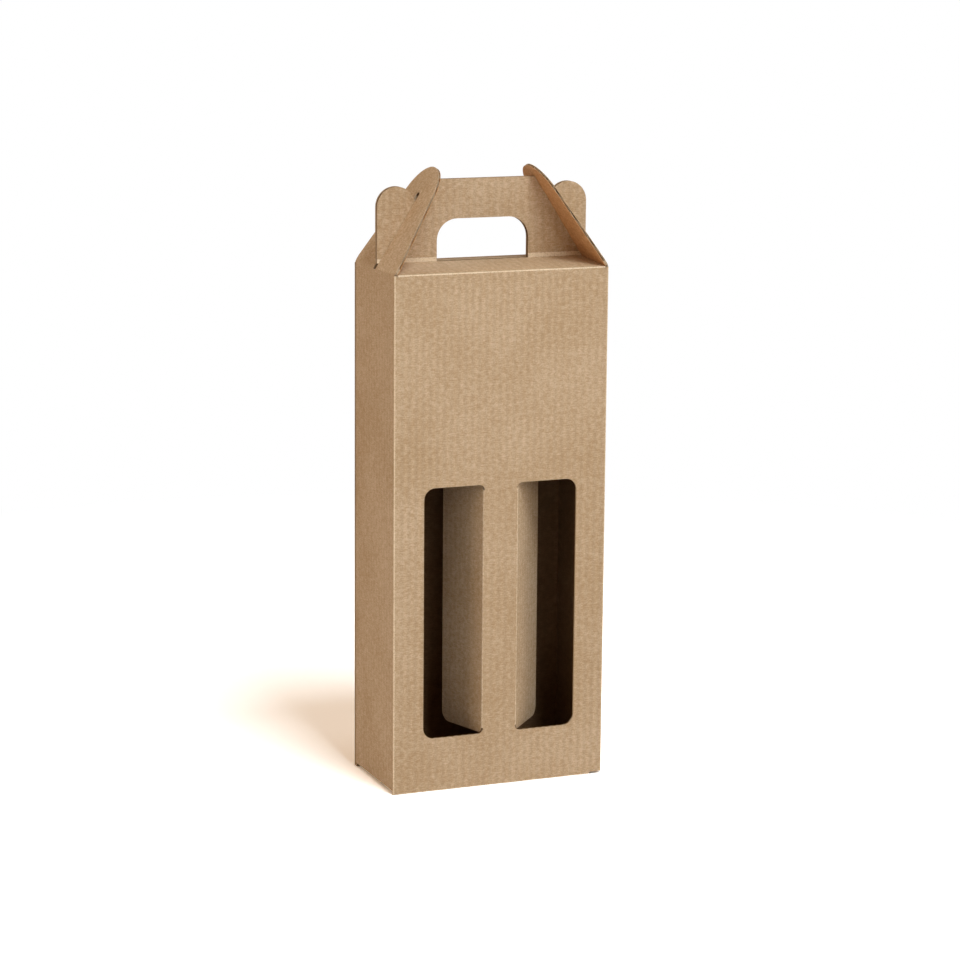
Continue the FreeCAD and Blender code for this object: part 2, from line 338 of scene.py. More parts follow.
    def piece(self, name, body, node, within):
        """Finishes the piece: wave and thickness of the medium, materials, and what it rides on."""
        base = bpy.data.meshes.new(name + "_medium_base")
        self.medium.to_mesh(base)
        carrier = bpy.data.objects.new(name + "_medium_base", base)
        bpy.context.collection.objects.link(carrier)
        wave = carrier.modifiers.new("fluting", "NODES")
        wave.node_group = fluting_tree
        for socket in fluting_tree.interface.items_tree:
            if socket.name in fluting_sizes:
                wave[socket.identifier] = fluting_sizes[socket.name]
        seen = carrier.evaluated_get(bpy.context.evaluated_depsgraph_get())
        medium_mesh = bpy.data.meshes.new_from_object(seen)
        bpy.data.objects.remove(carrier)
        medium = bpy.data.objects.new(name + "_medium", medium_mesh)
        liner_mesh = bpy.data.meshes.new(name + "_liners")
        self.liner.to_mesh(liner_mesh)
        liner_mesh.materials.append(outside_liner)
        liner_mesh.materials.append(within)
        liner_mesh.materials.append(medium_paper)
        liner_mesh.shade_smooth()
        liner_mesh.set_sharp_from_angle(angle=math.radians(32))
        liners = bpy.data.objects.new(name + "_liners", liner_mesh)
        for piece in (liners, medium):
            bpy.context.collection.objects.link(piece)
            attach(piece, body)
            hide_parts(node)


def linear(code):
    """sRGB hex to linear colour."""
    parts = [int(code[i:i + 2], 16) / 255 for i in (0, 2, 4)]
    return tuple(p / 12.92 if p <= 0.04045 else ((p + 0.055) / 1.055) ** 2.4 for p in parts) + (1,)


def add(tree, kind, links=(), **settings):
    """One more node: settings are its properties or named inputs, and links feed its inputs."""
    node = tree.nodes.new(kind)
    for key, value in settings.items():
        if hasattr(node, key):
            setattr(node, key, value)
        else:
            node.inputs[key.replace("_", " ")].default_value = value
    for source, target in links:
        tree.links.new(source, node.inputs[target])
    return node


# The medium is a paper pressed into flutes: a wave between the two liners.
fluting_sizes = {
    "Flute Pitch": flute_pitch * mm,
    "Flute Height": (board_t - 2 * liner_t - medium_t) * mm,
    "Paper Thickness": medium_t * mm,
}
fluting_tree = bpy.data.node_groups.new("Fluting of the medium", "GeometryNodeTree")
fluting_tree.interface.new_socket("Geometry", in_out="INPUT", socket_type="NodeSocketGeometry")
for size_name in fluting_sizes:
    fluting_tree.interface.new_socket(size_name, in_out="INPUT", socket_type="NodeSocketFloat")
fluting_tree.interface.new_socket("Geometry", in_out="OUTPUT", socket_type="NodeSocketGeometry")
g = fluting_tree
given = add(g, "NodeGroupInput")
across = add(g, "GeometryNodeInputNamedAttribute", data_type="FLOAT", Name="across")
outward = add(g, "GeometryNodeInputNamedAttribute", data_type="FLOAT_VECTOR", Name="outward")
turns = add(g, "ShaderNodeMath",
            [(across.outputs["Attribute"], 0), (given.outputs["Flute Pitch"], 1)],
            operation="DIVIDE")
phase = add(g, "ShaderNodeMath", [(turns.outputs[0], 0)], operation="MULTIPLY")
phase.inputs[1].default_value = 2 * math.pi
swing = add(g, "ShaderNodeMath", [(phase.outputs[0], 0)], operation="SINE")
half_height = add(g, "ShaderNodeMath", [(given.outputs["Flute Height"], 0)], operation="MULTIPLY")
half_height.inputs[1].default_value = 0.5
rise = add(g, "ShaderNodeMath", [(swing.outputs[0], 0), (half_height.outputs[0], 1)],
           operation="MULTIPLY")
half_paper = add(g, "ShaderNodeMath", [(given.outputs["Paper Thickness"], 0)], operation="MULTIPLY")
half_paper.inputs[1].default_value = -0.5
under = add(g, "ShaderNodeMath", [(rise.outputs[0], 0), (half_paper.outputs[0], 1)],
            operation="ADD")
move = add(g, "ShaderNodeVectorMath",
           [(outward.outputs["Attribute"], 0), (under.outputs[0], "Scale")], operation="SCALE")
waved = add(g, "GeometryNodeSetPosition",
            [(given.outputs["Geometry"], "Geometry"), (move.outputs[0], "Offset")])
lift = add(g, "ShaderNodeVectorMath",
           [(outward.outputs["Attribute"], 0), (given.outputs["Paper Thickness"], "Scale")],
           operation="SCALE")
thick = add(g, "GeometryNodeExtrudeMesh", [(waved.outputs[0], "Mesh"), (lift.outputs[0], "Offset")],
            mode="FACES", Offset_Scale=1.0, Individual=False)
back_side = add(g, "GeometryNodeFlipFaces", [(waved.outputs[0], "Mesh")])
both = add(g, "GeometryNodeJoinGeometry", [(back_side.outputs[0], 0), (thick.outputs["Mesh"], 0)])
closed = add(g, "GeometryNodeMergeByDistance", [(both.outputs[0], "Geometry")], Distance=1e-6)
single = add(g, "GeometryNodeRealizeInstances", [(closed.outputs[0], "Geometry")])
painted = add(g, "GeometryNodeSetMaterial", [(single.outputs[0], "Geometry")])
add(g, "NodeGroupOutput", [(painted.outputs[0], "Geometry")])


# Kraft liner: uncoated brown paper of long wood fibres. It is matt and mottled, the flutes
# show through it as faint upright lines, and it is drawn pale and fuzzy where it is creased:
# partly worn fibres, partly a painted highlight where the fold catches the light.
# Real fibres are about 0.03 mm thick, too fine to show, so they are drawn about 20 times coarser.
cloud_size, mottle_size, fleck_size, drift_size = 50.0, 3.03, 1.0, 71.4
fibre_length, fibre_thick = 4.0, 2 / 3


def kraft_liner(name, base, dark, pale, worn_and_lit, show_through):
    """Liner paper in four shades, the last for creases, worn and with a painted highlight.
    show_through is how much the flutes lighten and darken it.
    """
    material = bpy.data.materials.new(name)
    material.use_nodes = True
    tree = material.node_tree
    tree.nodes.clear()
    where = add(tree, "ShaderNodeTexCoord")
    sheet = add(tree, "ShaderNodeUVMap", uv_map="Sheet")
    cloud = add(tree, "ShaderNodeTexNoise", [(where.outputs["Object"], "Vector")],
                Scale=1 / (cloud_size * mm), Detail=1.0, Roughness=0.5)
    mottle = add(tree, "ShaderNodeTexNoise", [(where.outputs["Object"], "Vector")],
                 Scale=1 / (mottle_size * mm), Detail=2.0, Roughness=0.55)
    fleck = add(tree, "ShaderNodeTexNoise", [(where.outputs["Object"], "Vector")],
                Scale=1 / (fleck_size * mm), Detail=2.0, Roughness=0.6)
    along = add(tree, "ShaderNodeMapping", [(sheet.outputs[0], "Vector")])
    along.inputs["Scale"].default_value = (1 / (fibre_length * mm), 1 / (fibre_thick * mm), 1.0)
    fibre = add(tree, "ShaderNodeTexNoise", [(along.outputs[0], "Vector")],
                Scale=1.0, Detail=2.0, Roughness=0.6, Distortion=0.6)
    split = add(tree, "ShaderNodeSeparateXYZ", [(sheet.outputs[0], "Vector")])
    turn = add(tree, "ShaderNodeMath", [(split.outputs["X"], 0)], operation="MULTIPLY")
    turn.inputs[1].default_value = 2 * math.pi / (flute_pitch * mm)
    flute = add(tree, "ShaderNodeMath", [(turn.outputs[0], 0)], operation="SINE")
    drift = add(tree, "ShaderNodeTexNoise", [(where.outputs["Object"], "Vector")],
                Scale=1 / (drift_size * mm), Detail=2.0, Roughness=0.5)
    level = add(tree, "ShaderNodeMath", [(cloud.outputs["Fac"], 0)], operation="MULTIPLY")
    level.inputs[1].default_value = 0.45
    soft = add(tree, "ShaderNodeMath", [(mottle.outputs["Fac"], 0)], operation="MULTIPLY")
    soft.inputs[1].default_value = 0.7
    for part in (soft.outputs[0], fleck.outputs["Fac"], fibre.outputs["Fac"]):
        level = add(tree, "ShaderNodeMath", [(level.outputs[0], 0), (part, 1)], operation="ADD")
    level = add(tree, "ShaderNodeMapRange", [(level.outputs[0], "Value")],
                From_Min=1.275, From_Max=1.875, To_Min=0.0, To_Max=1.0)
    tone = add(tree, "ShaderNodeValToRGB", [(level.outputs[0], "Fac")])
    stops = tone.color_ramp.elements
    stops[0].color = linear(dark)
    stops[1].color = linear(pale)
    middle = stops.new(0.5)
    middle.color = linear(base)
    shade = add(tree, "ShaderNodeMath", [(flute.outputs[0], 0), (drift.outputs["Fac"], 1)],
                operation="MULTIPLY")
    shade = add(tree, "ShaderNodeMapRange", [(shade.outputs[0], "Value")],
                From_Min=-1.0, From_Max=1.0, To_Min=1 - show_through, To_Max=1 + show_through)
    lined = add(tree, "ShaderNodeVectorMath",
                [(tone.outputs["Color"], 0), (shade.outputs[0], "Scale")], operation="SCALE")
    # Creases are drawn pale: partly worn fibres, partly a painted highlight where the fold catches
    # the light.
    crease = add(tree, "ShaderNodeAttribute", attribute_name="wear_and_highlight")
    ragged = add(tree, "ShaderNodeMath", [(crease.outputs["Fac"], 0), (fleck.outputs["Fac"], 1)],
                 operation="MULTIPLY")
    ragged = add(tree, "ShaderNodeMapRange", [(ragged.outputs[0], "Value")],
                 From_Min=0.15, From_Max=0.5, To_Min=0.0, To_Max=0.9)
    worn_and_lit_tone = add(tree, "ShaderNodeMix", [(ragged.outputs[0], "Factor")], data_type="RGBA")
    tree.links.new(lined.outputs[0], worn_and_lit_tone.inputs[6])
    worn_and_lit_tone.inputs[7].default_value = linear(worn_and_lit)
    height = add(tree, "ShaderNodeMath", [(fleck.outputs["Fac"], 0), (fibre.outputs["Fac"], 1)],
                 operation="ADD")
    bump = add(tree, "ShaderNodeBump", [(height.outputs[0], "Height")], Strength=0.35)
    bump.inputs["Distance"].default_value = 0.08 * mm
    wash = add(tree, "ShaderNodeBump", [(flute.outputs[0], "Height"), (bump.outputs[0], "Normal")],
               Strength=0.4)
    wash.inputs["Distance"].default_value = 0.03 * mm
    rough = add(tree, "ShaderNodeMapRange", [(fleck.outputs["Fac"], "Value")],
                From_Min=0.3, From_Max=0.7, To_Min=0.78, To_Max=0.92)
    paper = add(tree, "ShaderNodeBsdfPrincipled",
                [(worn_and_lit_tone.outputs[2], "Base Color"), (rough.outputs[0], "Roughness"),
                 (wash.outputs[0], "Normal")], IOR=1.45)
    paper.inputs["Specular IOR Level"].default_value = 0.25
    add(tree, "ShaderNodeOutputMaterial", [(paper.outputs[0], "Surface")])
    return material


# The last colour of each liner is for its creases: wear and a painted highlight.
outside_liner = kraft_liner(
    "Uncoated kraft liner, outside", "bca080", "ae8f6a", "cdb395", "ecd8bb", 0.065)
inside_liner = kraft_liner(
    "Uncoated kraft liner, inside", "bf9063", "ad8055", "cfa278", "d8b48c", 0.03)
# The inside of the body is drawn much darker than the same kraft elsewhere: painted shade for the
# dim inside of the carton.
body_liner_painted_dark = kraft_liner(
    "Uncoated kraft liner, inside the body", "785a3c", "6c5034", "836547", "8f7152", 0.03)

# Fluting medium: short-fibre recycled paper, greyer and duller than the liners, seen only
# as a wave at the cut edges.
pulp_size = 1.11
medium_paper = bpy.data.materials.new("Recycled fluting medium")
medium_paper.use_nodes = True
m = medium_paper.node_tree
m.nodes.clear()
spot = add(m, "ShaderNodeTexCoord")
pulp = add(m, "ShaderNodeTexNoise", [(spot.outputs["Object"], "Vector")],
           Scale=1 / (pulp_size * mm), Detail=3.0)
pulp_tone = add(m, "ShaderNodeValToRGB", [(pulp.outputs["Fac"], "Fac")])
pulp_tone.color_ramp.elements[0].color = linear("947a5c")
pulp_tone.color_ramp.elements[1].color = linear("c9b294")
pulp_bump = add(m, "ShaderNodeBump", [(pulp.outputs["Fac"], "Height")], Strength=0.5)
pulp_bump.inputs["Distance"].default_value = 0.05 * mm
pulp_skin = add(m, "ShaderNodeBsdfPrincipled",
                [(pulp_tone.outputs["Color"], "Base Color"), (pulp_bump.outputs[0], "Normal")],
                Roughness=0.95, IOR=1.45)
add(m, "ShaderNodeOutputMaterial", [(pulp_skin.outputs[0], "Surface")])
painted.inputs["Material"].default_value = medium_paper

# Die-cut sizes: bottom hooks, handle and its ears, hand hole and windows.
relief_w, panel_gap, panel_taper, panel_r = 7.0, 0.4, 2.0, 4.0
hook_reach, hook_half, seam_gap = 14.0, 10.0, 0.3
handle_gap, rest_gap = 1.35, 0.35
ear_r, ear_z, notch_z = 14.0, 42.5, 43.5
ear_x = body_w / 2 - handle_gap - ear_r
hole_half, hole_high, hole_r, hole_start = 34.5, 33.0, 15.0, 0.8
window_far, window_r, hinge_r, window_seat = 57.6, 8.0, 4.0, 0.8
window_low, window_high = 38.5, 218.5
hinge_low, hinge_high = window_low + hinge_r, window_high - hinge_r

slope = math.atan(roof_rise / (body_d / 2 - leaf_y))
sheet_drop = board_t / 2 / math.cos(slope) - board_t / 2 * math.tan(slope)
front_line, front_runs, front_bends = creased([
    (hook_reach, board_t / 2), (wall_y, board_t / 2), (wall_y, body_h - sheet_drop),
    (leaf_mid, body_h + roof_rise - sheet_drop), (leaf_mid, body_h + handle_top)], 1)


def gable_face(height, offset):
    """X of the leaning gable flap's face at a height above the fold line."""
    return gable_axis_x - height * math.tan(gable_lean) + offset / math.cos(gable_lean)


def roof_side(height):
    """X of the edge that stays just off the gable flap's inner face."""
    return gable_face(height, -board_t / 2 - rest_gap)


def on_handle(x, height):
    """Sheet coordinates of a point of the handle, from its height above the fold line."""
    return (x, front_runs[3][1] + body_h + height - front_runs[3][3].y)


def on_bottom(x, y):
    """Sheet coordinates of a point of the outer bottom panel, from its place under the carton."""
    return (x, front_runs[0][2] - (y - (-flat_y)))


def handle_side():
    """Right half of the handle's outline, from the crease up over the ear to the middle."""
    stop = 180 - math.degrees(math.asin((notch_z - ear_z) / ear_r))
    points = [(ear_x + ear_r, roof_rise + crease_in_r)]
    points += arc((ear_x, ear_z), ear_r, 0, stop, count=24)
    points += [(roof_side(notch_z), notch_z), (roof_side(handle_top), handle_top)]
    return [on_handle(*p) for p in points]


wall_top = body_h - board_t - crease_in_r
wall_foot = front_runs[1][1]
roof_foot = front_runs[2][1]
hook_low, hook_high = -hook_reach - seam_gap, hook_reach - seam_gap
bottom_edge = rounded([
    (flat_x - relief_w, -flat_y, 0), (flat_x - relief_w, hook_low, panel_r),
    (hook_half - seam_gap, hook_low, panel_r), (-hook_half - seam_gap, hook_high, panel_r),
    (-flat_x + panel_gap + panel_taper, hook_high, panel_r), (-flat_x + panel_gap, -flat_y, 0)])
right_edge = (
    [(flat_x, wall_foot), (flat_x, wall_top), (roof_side(0), wall_top), (roof_side(0), roof_foot)]
    + [(roof_side(roof_rise), handle_side()[0][1])] + handle_side())
front_outline = (
    right_edge + [(-x, v) for x, v in reversed(right_edge)]
    + [(-flat_x + panel_gap, wall_foot)] + [on_bottom(x, y) for x, y in reversed(bottom_edge)]
    + [(flat_x - relief_w, wall_foot)])

hole_foot = front_bends[2][0] + hole_start * (front_bends[2][1] - front_bends[2][0])
hand_hole = rounded([
    (-hole_half, hole_foot, 0), (hole_half, hole_foot, 0),
    on_handle(hole_half, hole_high) + (hole_r,), on_handle(-hole_half, hole_high) + (hole_r,)])


def window_end(far, low, high, r):
    """Outer end of a window or of its flap, with its two round corners, from low to high."""
    return rounded([(web_x, low, 0), (far, low, r), (far, high, r), (web_x, high, 0)])[1:-1]


right_window = (
    [(web_x, hinge_low)] + arc((web_x + hinge_r, hinge_low), hinge_r, 180, 270, count=8)[1:]
    + window_end(window_far, window_low, window_high, window_r)
    + arc((web_x + hinge_r, hinge_high), hinge_r, 90, 180, count=8)
    + [(web_x - window_seat, hinge_high), (web_x - window_seat, hinge_low)])
left_window = [(-x, v) for x, v in reversed(right_window)]


def front_place(s, v, w):
    a, b = front_line(v, w)
    return Vector((s, a, b))


def rear_place(s, v, w):
    a, b = front_line(v, w)
    return Vector((-s, -a, b))


# The pressed foot of the handle is drawn pale over its whole height: partly rubbed wear, partly a
# painted highlight where the fold catches the light. A panel's shift is where it lies on the
# uncut sheet, which carries the flutes and the paper's pattern.
foot_band, foot_wear_and_highlight = 2.8, 0.95
rear_at = 400
carton = Board()
foot_top = front_bends[2][1] + foot_band
front_worn_and_lit = [ridge(*bend) for bend in front_bends[:2]] + [(front_bends[2][1], foot_top, foot_wear_and_highlight)]
front_lines = bend_lines(front_bends) + [foot_top, foot_top + wear_and_highlight_reach]
front_joined = (-flat_x, flat_x, web_x - window_seat, window_seat - web_x)
carton.add(front_outline, [hand_hole, right_window, left_window], front_place,
           v_lines=front_lines, v_worn_and_lit=front_worn_and_lit, joined=front_joined)
carton.add(front_outline, [hand_hole], rear_place,
           v_lines=front_lines, v_worn_and_lit=front_worn_and_lit, shift=(rear_at, 0), joined=front_joined)


def lip_place(s, v, w):
    return Vector((s, wall_y - w, v))


def rear_lip_place(s, v, w):
    return Vector((-s, w - wall_y, v))


# Over the relief notch, where no bottom panel is folded in, the wall's foot is a plain cut.
cut_foot, lip_top = 1.5, board_t + crease_in_r
lip_start = flat_x - relief_w
lip = [(lip_start, cut_foot), (flat_x, cut_foot), (flat_x, lip_top), (lip_start, lip_top)]
carton.add(lip, [], lip_place, joined=(flat_x,))
carton.add(lip, [], rear_lip_place, shift=(rear_at, 0), joined=(flat_x,))


# Side walls: upright board between the corner creases, with an inner bottom panel folded in
# below, and a top edge pinched round by the crease that the gable flap turns on.
inner_panel, inner_panel_z, inner_slant, inner_step = 36.0, 3.3, 22.0, 6.0
right_side_at, left_side_at = 79.7 + flat_y, 679.7
free_x = body_w / 2 - inner_panel
side_line, side_runs, side_bends = creased([
    (free_x, inner_panel_z), (gable_axis_x, inner_panel_z), (gable_axis_x, body_h + 1)], 1)


def side_outline(y0, y1):
    """Sheet outline of a side wall and its bottom panel, for a wall from y0 to y1."""
    def on_panel(x, y):
        return (y, side_runs[0][2] - (flat_x - x))

    low, high = y0 + panel_gap, y1 - panel_gap
    panel = rounded([
        (flat_x, low, 0), (free_x, low, panel_r), (free_x, high - inner_slant, panel_r),
        (flat_x - inner_step, high, 0), (flat_x, high, 0)])
    return ([(y1, side_runs[1][1]), (y1, column_head), (y0, column_head), (y0, side_runs[1][1])]
            + [on_panel(x, y) for x, y in panel])


def right_side_place(s, v, w):
    a, b = side_line(v, -w)
    return Vector((a, s, b))


def left_side_place(s, v, w):
    a, b = side_line(v, -w)
    return Vector((-a, -s, b))


seam_y = flat_y - board_t
for place, y0, shift in (
        (right_side_place, -flat_y, right_side_at), (left_side_place, -seam_y, left_side_at)):
    carton.add(side_outline(y0, flat_y), [], place,
               v_lines=bend_lines(side_bends), v_worn_and_lit=[ridge(*bend) for bend in side_bends],
               shift=(shift, 0), joined=(y0, flat_y))


# Corner creases: the upright folds between the walls, three plain ones and, at the rear left,
# a fold of the same height into the glue flap, which is stuck inside the rear wall's cut end.
corner_length = bend_r * math.pi / 2
steps_in_corner = 12
front_left_at, rear_right_at, glue_at = 500 + flat_x, 300 + flat_x, 800


def corner_place(x_sign, y_sign, y_mid):
    def place(s, v, w):
        angle = s / bend_r
        reach = corner_reach(angle, math.pi / 2, w)
        return Vector((x_sign * (flat_x + reach * math.sin(angle)),
                       y_mid + y_sign * reach * math.cos(angle), v))
    return place


steps = [corner_length * k / steps_in_corner for k in range(steps_in_corner + 1)]
for x_sign, y_sign, shift, foot in (
        (1, -1, flat_x, cut_foot), (-1, -1, front_left_at, column_foot),
        (1, 1, rear_right_at, column_foot)):
    column = [(0, foot), (corner_length, foot), (corner_length, column_head), (0, column_head)]
    carton.add(column, [], corner_place(x_sign, y_sign, y_sign * flat_y), s_lines=steps,
               s_worn_and_lit=[ridge(0, corner_length)], shift=(shift, 0), joined=(0, corner_length))

glue_w = 28.0
glue_low, glue_high = 4.5, body_h - 3.0
foot_slant, head_slant = 9.0, 6.0


def glue_place(s, v, w):
    if s < 0:
        return Vector((-flat_x - s, seam_y + bend_r + w, v))
    return corner_place(-1, 1, seam_y)(s, v, w)


glue_outline = [
    (corner_length, column_foot), (corner_length, column_head), (0, column_head), (0, glue_high),
    (-glue_w, glue_high - head_slant), (-glue_w, glue_low + foot_slant), (0, glue_low),
    (0, column_foot)]
carton.add(glue_outline, [], glue_place, s_lines=steps, shift=(glue_at, 0), joined=(corner_length,))

wall_end = body_w / 2
rear_end = [(flat_x, column_foot), (wall_end, column_foot),
            (wall_end, column_head), (flat_x, column_head)]
carton.add(rear_end, [], rear_lip_place, shift=(rear_at, 0), joined=(flat_x,))
carton.piece("carton", "carton", "carton", body_liner_painted_dark)


# Gable flaps: slotted flaps folded up from the side walls. Each leans in, its slot over the
# handle's ear, and its round tongue rests in the notch between the ear and the grip.
gable_len, tip_r, straight = 81.4, 26.2, 5.0
gable_gap, crease_half = 0.4, 38.4
gable_half = body_d / 2 - gable_gap
tip_mid = gable_len - tip_r
touch = (math.atan2(gable_half, straight - tip_mid)
         - math.acos(tip_r / math.hypot(gable_half, straight - tip_mid)))
slot_end_gap = 2.1
slot_half = leaf_y + rest_gap
slot_mid = math.hypot(gable_axis_x - ear_x, ear_z) + ear_r + slot_end_gap - slot_half
half_tip = 14
turns = [touch * (1 - k / half_tip) for k in range(2 * half_tip + 1)]
tip = [(tip_r * math.sin(turn), tip_mid + tip_r * math.cos(turn)) for turn in turns]
slot_round = arc((0, slot_mid), slot_half, 180, 0, count=10)
fold_end = 1.6
gable_outline = (
    [(slot_half, fold_end), (gable_half, fold_end), (gable_half, straight)] + tip
    + [(-gable_half, straight), (-gable_half, fold_end), (-slot_half, fold_end)] + slot_round)


def gable_place(side):
    def place(s, v, w):
        x = gable_axis_x - v * math.sin(gable_lean) + w * math.cos(gable_lean)
        z = body_h + v * math.cos(gable_lean) + w * math.sin(gable_lean)
        return Vector((side * x, side * s, z))
    return place


def fold_section(angle, before, after, count=12):
    """Section of a crushed crease about its axis: matching points of the outer and inner face,
    as (along the wall, out of it), from before the fold line to after it."""
    corner = math.tan(angle / 2)
    along = Vector((math.cos(angle), -math.sin(angle)))
    out_of = Vector((math.sin(angle), math.cos(angle)))
    pairs = []
    for k in range(count + 1):
        walked = (before + angle + after) * k / count - before
        if walked < 0:
            outer = Vector((walked, 1))
        elif walked < angle:
            outer = Vector((math.sin(walked), math.cos(walked)))
        else:
            outer = out_of + along * (walked - angle)
        walked = (before + after - 2 * corner) * k / count - (before - corner)
        if walked < 0:
            inner = Vector((walked - corner, -1))
        else:
            inner = along * (walked + corner) - out_of
        pairs.append((outer, inner))
    return pairs, Vector((math.cos(angle / 2), -math.sin(angle / 2)))


def crease_strip(name, angle, before, spans, put, shift, v_start, wear_and_highlight, cut=lambda past: 0):
    """Crushed board along a fold: spans are its stretches as (s at wall, s at flap) pairs, and
    put(s, along, out) places a point of its section. cut(past) is how far its ends follow the
    cut line so far past the fold."""
    pairs, middle = fold_section(angle, before, fold_end)
    strip = bmesh.new()
    sheet = strip.loops.layers.uv.new("Sheet")
    worn_and_lit = strip.verts.layers.float.new("wear_and_highlight")
    depths = [0, liner_t / board_t, 1 - liner_t / board_t, 1]
    for low, high in spans:
        ends = []
        for sign, (wall_s, flap_s) in ((-1, low), (1, high)):
            rows = []
            for k, (outer, inner) in enumerate(pairs):
                t = k / (len(pairs) - 1)
                past = (before + angle + fold_end) * t - before - angle
                s = wall_s + (flap_s - wall_s) * t + sign * cut(past)
                row = []
                for depth in depths:
                    at = outer.lerp(inner, depth)
                    vert = strip.verts.new(put(s, at.x, at.y) * mm)
                    # Wear and painted highlight, strongest at the crest of the fold.
                    vert[worn_and_lit] = wear_and_highlight * max(1 - (2 * abs(2 * t - 1)) ** 2, 0)
                    row.append((vert, s, v_start + (before + fold_end + angle) * t))
                rows.append(row)
            ends.append(rows)
        made = []
        left, right = ends
        for k in range(len(pairs) - 1):
            for at, slot in ((0, 0), (3, 1)):
                made.append(([left[k][at], right[k][at], right[k + 1][at], left[k + 1][at]], slot))
            for rows in ends:
                here, there = rows[k], rows[k + 1]
                for at, slot in ((0, 0), (1, 2), (2, 1)):
                    made.append(([here[at], here[at + 1], there[at + 1], there[at]], slot))
        for k in (0, -1):
            for at, slot in ((0, 0), (1, 2), (2, 1)):
                made.append(([left[k][at], right[k][at], right[k][at + 1], left[k][at + 1]], slot))
        for corners, slot in made:
            face = strip.faces.new([c[0] for c in corners])
            face.material_index = slot
            for loop, c in zip(face.loops, corners):
                loop[sheet].uv = ((c[1] + shift) * mm, c[2] * mm)
    bmesh.ops.recalc_face_normals(strip, faces=strip.faces)
    mesh = bpy.data.meshes.new(name)
    strip.to_mesh(mesh)
    for material in (outside_liner, inside_liner, medium_paper):
        mesh.materials.append(material)
    mesh.shade_smooth()
    mesh.set_sharp_from_angle(angle=math.radians(40))
    piece = bpy.data.objects.new(name, mesh)
    bpy.context.collection.objects.link(piece)
    reach = fold_end * math.cos(angle / 2) - math.sin(angle / 2)
    here, there = put(0, 0, 0) * mm, put(0, middle.x * reach, middle.y * reach) * mm
    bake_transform(piece)


row_by_fold = 3.8
for side, name, shift in (
        (-1, "left_gable_flap", left_side_at), (1, "right_gable_flap", right_side_at)):
    flap = Board()
    flap.add(gable_outline, [], gable_place(side), v_lines=[row_by_fold], shift=(shift, body_h))
    flap.piece(name, name, name, inside_liner)

    def gable_put(s, along, out, side=side):
        return Vector((side * (gable_axis_x + out), side * s, body_h + along))

    spans = [((-crease_half, -gable_half), (-slot_half, -slot_half)),
             ((slot_half, slot_half), (crease_half, gable_half))]
    crease_strip(name.replace("flap", "crease"), gable_lean,
                 body_h - column_head, spans, gable_put, shift, column_head, wear_and_highlight=0.3)


# Window flaps: the board of each window, still held at the window's inner edge and pushed in
# to stand between the two bottles. They stand at different angles, as they were left.
cut_gap = 0.4
cut_r = hinge_r - cut_gap
for side, name, angle in ((-1, "left_window_flap", 73.0), (1, "right_window_flap", 48.5)):
    turn = math.radians(angle)

    def window_place(s, v, w, side=side, turn=turn):
        along = side * s - web_x
        x = web_x + along * math.cos(turn) + w * math.sin(turn)
        return Vector((side * x, wall_y + along * math.sin(turn) - w * math.cos(turn), v))

    def window_put(v, along, out, side=side):
        return Vector((side * (web_x + along), wall_y - out, v))

    def window_cut(past):
        """How far the flap's corner cut has run along the fold, so far past it."""
        return math.sqrt(max(cut_r ** 2 - (hinge_r - past) ** 2, 0))

    flap = Board()
    swept = math.degrees(math.asin(window_cut(fold_end) / cut_r))
    window_outline = (
        arc((web_x + hinge_r, hinge_low), cut_r, 180 + swept, 270, count=6)
        + window_end(window_far - cut_gap, window_low + cut_gap,
                     window_high - cut_gap, window_r - cut_gap)
        + arc((web_x + hinge_r, hinge_high), cut_r, 90, 180 - swept, count=6))
    window_outline = [(side * s, v) for s, v in window_outline][::side]
    flap.add(window_outline, [], window_place, joined=(side * (web_x + fold_end),))
    flap.piece(name, name, name, inside_liner)
    spans = [((hinge_low, hinge_low), (hinge_high, hinge_high))]
    # The window's fold is drawn pale: partly wear, partly a painted highlight where the fold
    # catches the light.
    crease_strip(name.replace("flap", "crease"), turn, window_seat, spans,
                 window_put, shift=0, v_start=0, wear_and_highlight=0.8, cut=window_cut)


# Studio: a white floor under soft light from above, the front, both sides and behind, warmer
# from the left, and the camera where the photograph was taken from.
floor_mesh = bpy.data.meshes.new("floor")
floor_mesh.from_pydata([(-6, -6, 0), (6, -6, 0), (6, 6, 0), (-6, 6, 0)], [], [(0, 1, 2, 3)])
floor = bpy.data.objects.new("floor", floor_mesh)
bpy.context.collection.objects.link(floor)
floor_paint = bpy.data.materials.new("Matt white studio paper")
floor_paint.use_nodes = True
f = floor_paint.node_tree
f.nodes.clear()
ray = add(f, "ShaderNodeLightPath")
matt = add(f, "ShaderNodeBsdfDiffuse", Color=linear("ececec"))
bright = add(f, "ShaderNodeBsdfDiffuse", Color=(1.8, 1.8, 1.8, 1))
white = add(f, "ShaderNodeEmission", Color=(1, 1, 1, 1), Strength=1.0)
ground = add(f, "ShaderNodeTexCoord")
away = add(f, "ShaderNodeVectorMath", [(ground.outputs["Object"], 0)], operation="LENGTH")
fade = add(f, "ShaderNodeMapRange", [(away.outputs["Value"], "Value")],
           From_Min=0.35, From_Max=1.0, To_Min=0.0, To_Max=1.0)
seen_floor = add(f, "ShaderNodeMixShader",
                 [(fade.outputs[0], 0), (bright.outputs[0], 1), (white.outputs[0], 2)])
either = add(f, "ShaderNodeMath",
             [(ray.outputs["Is Camera Ray"], 0), (ray.outputs["Is Glossy Ray"], 1)],
             operation="MAXIMUM")
either = add(f, "ShaderNodeMath", [(either.outputs[0], 0), (ray.outputs["Is Transmission Ray"], 1)],
             operation="MAXIMUM")
pick = add(f, "ShaderNodeMixShader",
           [(either.outputs[0], 0), (matt.outputs[0], 1), (seen_floor.outputs[0], 2)])
add(f, "ShaderNodeOutputMaterial", [(pick.outputs[0], "Surface")])
floor_mesh.materials.append(floor_paint)

